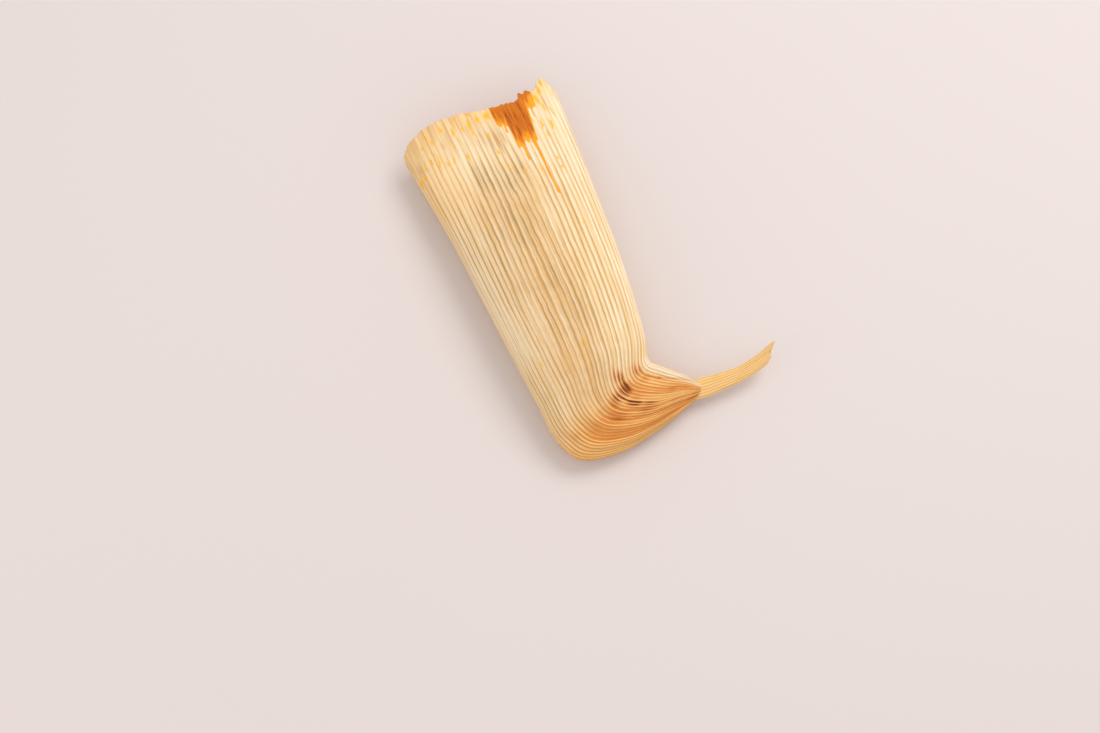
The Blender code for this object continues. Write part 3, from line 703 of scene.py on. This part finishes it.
# ------------------------------------------------------------------ node helpers
class Nodes:
    """Short names for building a shader."""

    def __init__(self, name):
        self.material = bpy.data.materials.new(name)
        self.material.use_nodes = True
        self.tree = self.material.node_tree
        self.shader = self.tree.nodes["Principled BSDF"]

    def link(self, source, socket):
        self.tree.links.new(source, socket)

    def feed(self, socket, value):
        if isinstance(value, bpy.types.NodeSocket):
            self.link(value, socket)
        else:
            socket.default_value = value

    def attribute(self, name, output):
        node = self.tree.nodes.new("ShaderNodeAttribute")
        node.attribute_name = name
        return node.outputs[output]

    def split(self, colour):
        node = self.tree.nodes.new("ShaderNodeSeparateColor")
        self.link(colour, node.inputs[0])
        return node.outputs

    def maths(self, kind, a, b, clamp=False):
        node = self.tree.nodes.new("ShaderNodeMath")
        node.operation = kind
        node.use_clamp = clamp
        self.feed(node.inputs[0], a)
        self.feed(node.inputs[1], b)
        return node.outputs[0]

    def mix(self, share, a, b):
        node = self.tree.nodes.new("ShaderNodeMix")
        node.data_type = "RGBA"
        self.feed(node.inputs["Factor"], share)
        for socket, value in ((node.inputs[6], a), (node.inputs[7], b)):
            self.feed(socket, value if isinstance(value, bpy.types.NodeSocket) else (*value, 1.0))
        return node.outputs[2]

    def vector(self, x, y, z):
        node = self.tree.nodes.new("ShaderNodeCombineXYZ")
        for socket, value in zip(node.inputs, (x, y, z)):
            self.feed(socket, value)
        return node.outputs[0]

    def noise(self, vector, scale, detail=2.0, rough=0.5):
        node = self.tree.nodes.new("ShaderNodeTexNoise")
        self.feed(node.inputs["Vector"], vector)
        node.inputs["Scale"].default_value = scale
        node.inputs["Detail"].default_value = detail
        node.inputs["Roughness"].default_value = rough
        return node.outputs["Fac"]

    def ramp(self, value, low, high, out_low=0.0, out_high=1.0):
        node = self.tree.nodes.new("ShaderNodeMapRange")
        node.interpolation_type = "SMOOTHSTEP"
        self.feed(node.inputs[0], value)
        for i, v in enumerate((low, high, out_low, out_high)):
            node.inputs[i + 1].default_value = v
        return node.outputs[0]

    def place(self):
        node = self.tree.nodes.new("ShaderNodeTexCoord")
        return node.outputs["Object"]

    def bump(self, height, distance, strength):
        node = self.tree.nodes.new("ShaderNodeBump")
        node.inputs["Distance"].default_value = distance
        node.inputs["Strength"].default_value = strength
        self.link(height, node.inputs["Height"])
        self.link(node.outputs[0], self.shader.inputs["Normal"])


def srgb(r, g, b):
    """Display values 0-255 as the linear colour of a surface."""
    return tuple((c / 255 / 12.92) if c <= 10 else ((c / 255 + 0.055) / 1.055) ** 2.4 for c in (r, g, b))


def husk_material():
    """Corn husk: light veins and darker grooves, partly painted highlight on the crests and painted shade in
    the grooves, tinted and stained by the marks.
    """
    n = Nodes("corn_husk")
    flow = n.split(n.attribute("flow", "Vector"))
    rib, dist, shade = flow[0], flow[1], flow[2]
    sauce, scorch, grey = n.split(n.attribute("stains", "Vector"))[:3]
    yellow, pale, orange = n.split(n.attribute("tints", "Vector"))[:3]
    cream_and_highlight = n.attribute("cream_and_highlight", "Fac")
    tawny = n.attribute("tawny", "Fac")
    # fibres along the veins, and streaks of several veins together
    fibres = n.vector(n.maths("MULTIPLY", rib, 9.0), n.maths("MULTIPLY", dist, 0.11), 0.0)
    bands = n.vector(n.maths("MULTIPLY", rib, 0.9), n.maths("MULTIPLY", dist, 0.035), 3.0)
    fine = n.noise(fibres, 1.0, 3.0, 0.6)
    streak = n.noise(bands, 1.0, 3.0, 0.55)
    blotch = n.noise(n.place(), 90.0, 3.0, 0.55)
    grain = n.noise(n.place(), 900.0, 2.0, 0.5)
    tone = n.maths("ADD", shade, n.maths("MULTIPLY", n.maths("SUBTRACT", fine, 0.5), 0.75))
    # the groove colours are partly painted shade and the near-white colour is a painted highlight on the
    # crests
    groove = n.mix(n.ramp(streak, 0.3, 0.7), srgb(202, 150, 80), srgb(221, 174, 108))
    body = n.mix(n.ramp(streak, 0.3, 0.7), srgb(246, 211, 152), srgb(252, 225, 179))
    colour = n.mix(n.ramp(tone, 0.0, 0.55), groove, body)
    colour = n.mix(n.ramp(tone, 0.62, 1.0), colour, srgb(255, 247, 228))
    dusky = n.mix(0.75, colour, srgb(236, 188, 120))
    colour = n.mix(n.ramp(blotch, 0.35, 0.7, 0.0, 0.35), colour, dusky)
    # cream_and_highlight mark: partly painted highlight, whitening the leaf
    milky_and_highlight = n.mix(n.ramp(tone, 0.0, 0.55), srgb(228, 192, 138), srgb(254, 238, 208))
    colour = n.mix(n.maths("MULTIPLY", cream_and_highlight, 0.8), colour, milky_and_highlight)
    warm = n.mix(n.ramp(tone, 0.0, 0.7), srgb(224, 136, 52), srgb(253, 200, 118))
    colour = n.mix(n.maths("MULTIPLY", orange, 0.85), colour, warm)
    # rim band: partly the rim's own deeper colour, partly painted light shining through the thin edge
    band = n.mix(n.ramp(tone, 0.0, 0.7), srgb(242, 178, 96), srgb(254, 216, 154))
    colour = n.mix(n.maths("MULTIPLY", pale, 0.85), colour, band)
    # tawny: fat streaks and tanned rim lines, and painted shade at the left edge
    colour = n.mix(n.maths("MULTIPLY", tawny, 0.9), colour, srgb(206, 148, 84))
    soaked = n.mix(n.ramp(tone, 0.1, 0.7), srgb(160, 130, 84), srgb(224, 194, 142))
    colour = n.mix(n.maths("MULTIPLY", grey, n.ramp(tone, 0.25, 0.9, 1.0, 0.3), clamp=True), colour, soaked)
    colour = n.mix(n.maths("MULTIPLY", yellow, 0.95, clamp=True), colour, srgb(255, 190, 36))
    brown = n.maths("MULTIPLY", scorch, n.ramp(tone, 0.25, 0.9, 1.0, 0.35), clamp=True)
    burnt = n.mix(n.ramp(brown, 0.4, 1.0), srgb(210, 120, 44), srgb(112, 54, 22))
    colour = n.mix(n.ramp(brown, 0.12, 0.7), colour, burnt)
    wet = n.maths("ADD", sauce, n.maths("MULTIPLY", n.maths("SUBTRACT", fine, 0.5), 1.1))
    wet = n.maths("ADD", wet, n.maths("MULTIPLY", n.maths("SUBTRACT", blotch, 0.5), 0.9), clamp=True)
    thin = n.mix(n.ramp(fine, 0.35, 0.65), srgb(250, 146, 14), srgb(255, 184, 44))
    thick = n.mix(n.ramp(fine, 0.35, 0.65), srgb(156, 58, 0), srgb(240, 136, 14))
    colour = n.mix(n.ramp(sauce, 0.08, 0.42), colour, n.mix(n.ramp(wet, 0.45, 1.0), thin, thick))
    n.link(colour, n.shader.inputs["Base Color"])
    n.link(n.ramp(sauce, 0.0, 1.0, 0.6, 0.42), n.shader.inputs["Roughness"])
    n.shader.inputs["Specular IOR Level"].default_value = 0.25
    relief = n.maths("ADD", fine, n.maths("MULTIPLY", grain, 0.6))
    n.bump(n.maths("ADD", relief, n.maths("MULTIPLY", blotch, 0.5)), 0.0003, 0.85)
    return n.material


def masa_material():
    """Crumbly dough, partly covered with sauce."""
    n = Nodes("masa_dough")
    filling = n.split(n.attribute("filling", "Vector"))
    grain = n.noise(n.place(), 1100.0, 3.0, 0.6)
    clump = n.noise(n.place(), 420.0, 4.0, 0.6)
    dough = n.mix(n.ramp(clump, 0.32, 0.66), srgb(220, 158, 70), srgb(250, 216, 142))
    sauce = n.mix(n.ramp(clump, 0.3, 0.7), srgb(140, 58, 0), srgb(214, 122, 24))
    wet = n.maths("ADD", filling[0], n.maths("MULTIPLY", n.maths("SUBTRACT", clump, 0.5), 1.3))
    wet = n.ramp(n.maths("ADD", wet, n.maths("MULTIPLY", n.maths("SUBTRACT", grain, 0.5), 0.5)), 0.36, 0.66)
    n.link(n.mix(wet, dough, sauce), n.shader.inputs["Base Color"])
    n.link(n.ramp(wet, 0.0, 1.0, 0.62, 0.4), n.shader.inputs["Roughness"])
    n.shader.inputs["Specular IOR Level"].default_value = 0.3
    n.bump(n.maths("ADD", grain, clump), 0.0005, 0.9)
    return n.material


def floor_material():
    """Plain pale floor with a faint cloudiness."""
    n = Nodes("pale_floor")
    cloud = n.noise(n.place(), 3.0, 2.0)
    n.link(n.mix(cloud, srgb(224, 214, 211), srgb(227, 217, 214)), n.shader.inputs["Base Color"])
    n.shader.inputs["Roughness"].default_value = 0.85
    n.shader.inputs["Specular IOR Level"].default_value = 0.1
    return n.material


# ------------------------------------------------------------------ assembly
def place_piece(piece, node):
    """Tells the frame what the piece rides on and which CAD part it replaces."""
    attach(piece, "root")
    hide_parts(node)


leaf_shell = build_leaf()
tail_shell = build_tail()
masa_shell = build_masa()

# the design is centred on the box of the CAD part
every = np.concatenate(leaf_shell.points + tail_shell.points)
design_middle = (every.min(0) + every.max(0)) / 2
cad_middle = (np.array(HUSK_LOW) + np.array(HUSK_HIGH)) / 2 / MM
SHIFT = np.array([cad_middle[0] - design_middle[0], cad_middle[1] - design_middle[1], 0.0])

husk_surface = husk_material()
place_piece(leaf_shell.build("husk_leaf", LEAF_VALUES, SHIFT, husk_surface), "husk")
place_piece(tail_shell.build("husk_tail", LEAF_VALUES, SHIFT, husk_surface), "husk")
place_piece(masa_shell.build("masa_dough", (("filling", 0, 3),), SHIFT, masa_material()), "masa")

FLOOR_SIZE, FLOOR_DROP = 40.0, 0.0002    # metres
bpy.ops.mesh.primitive_plane_add(size=FLOOR_SIZE, location=(0, 0, -FLOOR_DROP))
floor = bpy.context.object
floor.name = "floor"
floor.data.materials.append(floor_material())

# ------------------------------------------------------------------ camera and light
VIEW_AZIMUTH, VIEW_ELEVATION = -23.47, 80.01    # degrees
VIEW_PLACE = (-0.04878, -0.12454, 0.53940)      # metres, before the shift to the CAD box
SENSOR_WIDTH = 36.0
FOCAL_TO_WIDTH = 1400.0 / 1100.0                # focal length by the width of the frame
camera_place = Vector(VIEW_PLACE) + Vector(SHIFT) * MM
camera_data = bpy.data.cameras.new("camera")
camera_data.sensor_width = SENSOR_WIDTH
camera_data.lens = SENSOR_WIDTH * FOCAL_TO_WIDTH
camera = bpy.data.objects.new("camera", camera_data)
bpy.context.scene.collection.objects.link(camera)
azimuth, elevation = math.radians(VIEW_AZIMUTH), math.radians(VIEW_ELEVATION)
back = Vector((math.sin(azimuth) * math.cos(elevation), -math.cos(azimuth) * math.cos(elevation),
               math.sin(elevation)))
camera.location = camera_place
camera.rotation_euler = back.to_track_quat("Z", "Y").to_euler()
bpy.context.scene.camera = camera


def area_light(name, place, aim, size, power, colour):
    """Soft round lamp; places and size in metres, power in watts."""
    data = bpy.data.lights.new(name, "AREA")
    data.shape = "DISK"
    data.size = size
    data.energy = power
    data.color = colour
    lamp = bpy.data.objects.new(name, data)
    lamp.location = place
    lamp.rotation_euler = (Vector(place) - Vector(aim)).to_track_quat("Z", "Y").to_euler()
    bpy.context.scene.collection.objects.link(lamp)


SKY_COLOUR, SKY_STRENGTH = (1.0, 0.985, 0.975, 1), 0.76
area_light("key", (0.62, 0.32, 0.88), (0, 0, 0), size=0.6, power=5.4, colour=(1.0, 0.98, 0.96))
area_light("fill", (-0.6, -0.1, 0.3), (0, 0, 0.01), size=0.4, power=0.42, colour=(1.0, 0.94, 0.87))
world = bpy.data.worlds.new("studio")
world.use_nodes = True
world.node_tree.nodes["Background"].inputs[0].default_value = SKY_COLOUR
world.node_tree.nodes["Background"].inputs[1].default_value = SKY_STRENGTH
bpy.context.scene.world = world
bpy.context.scene.view_settings.view_transform = "Standard"
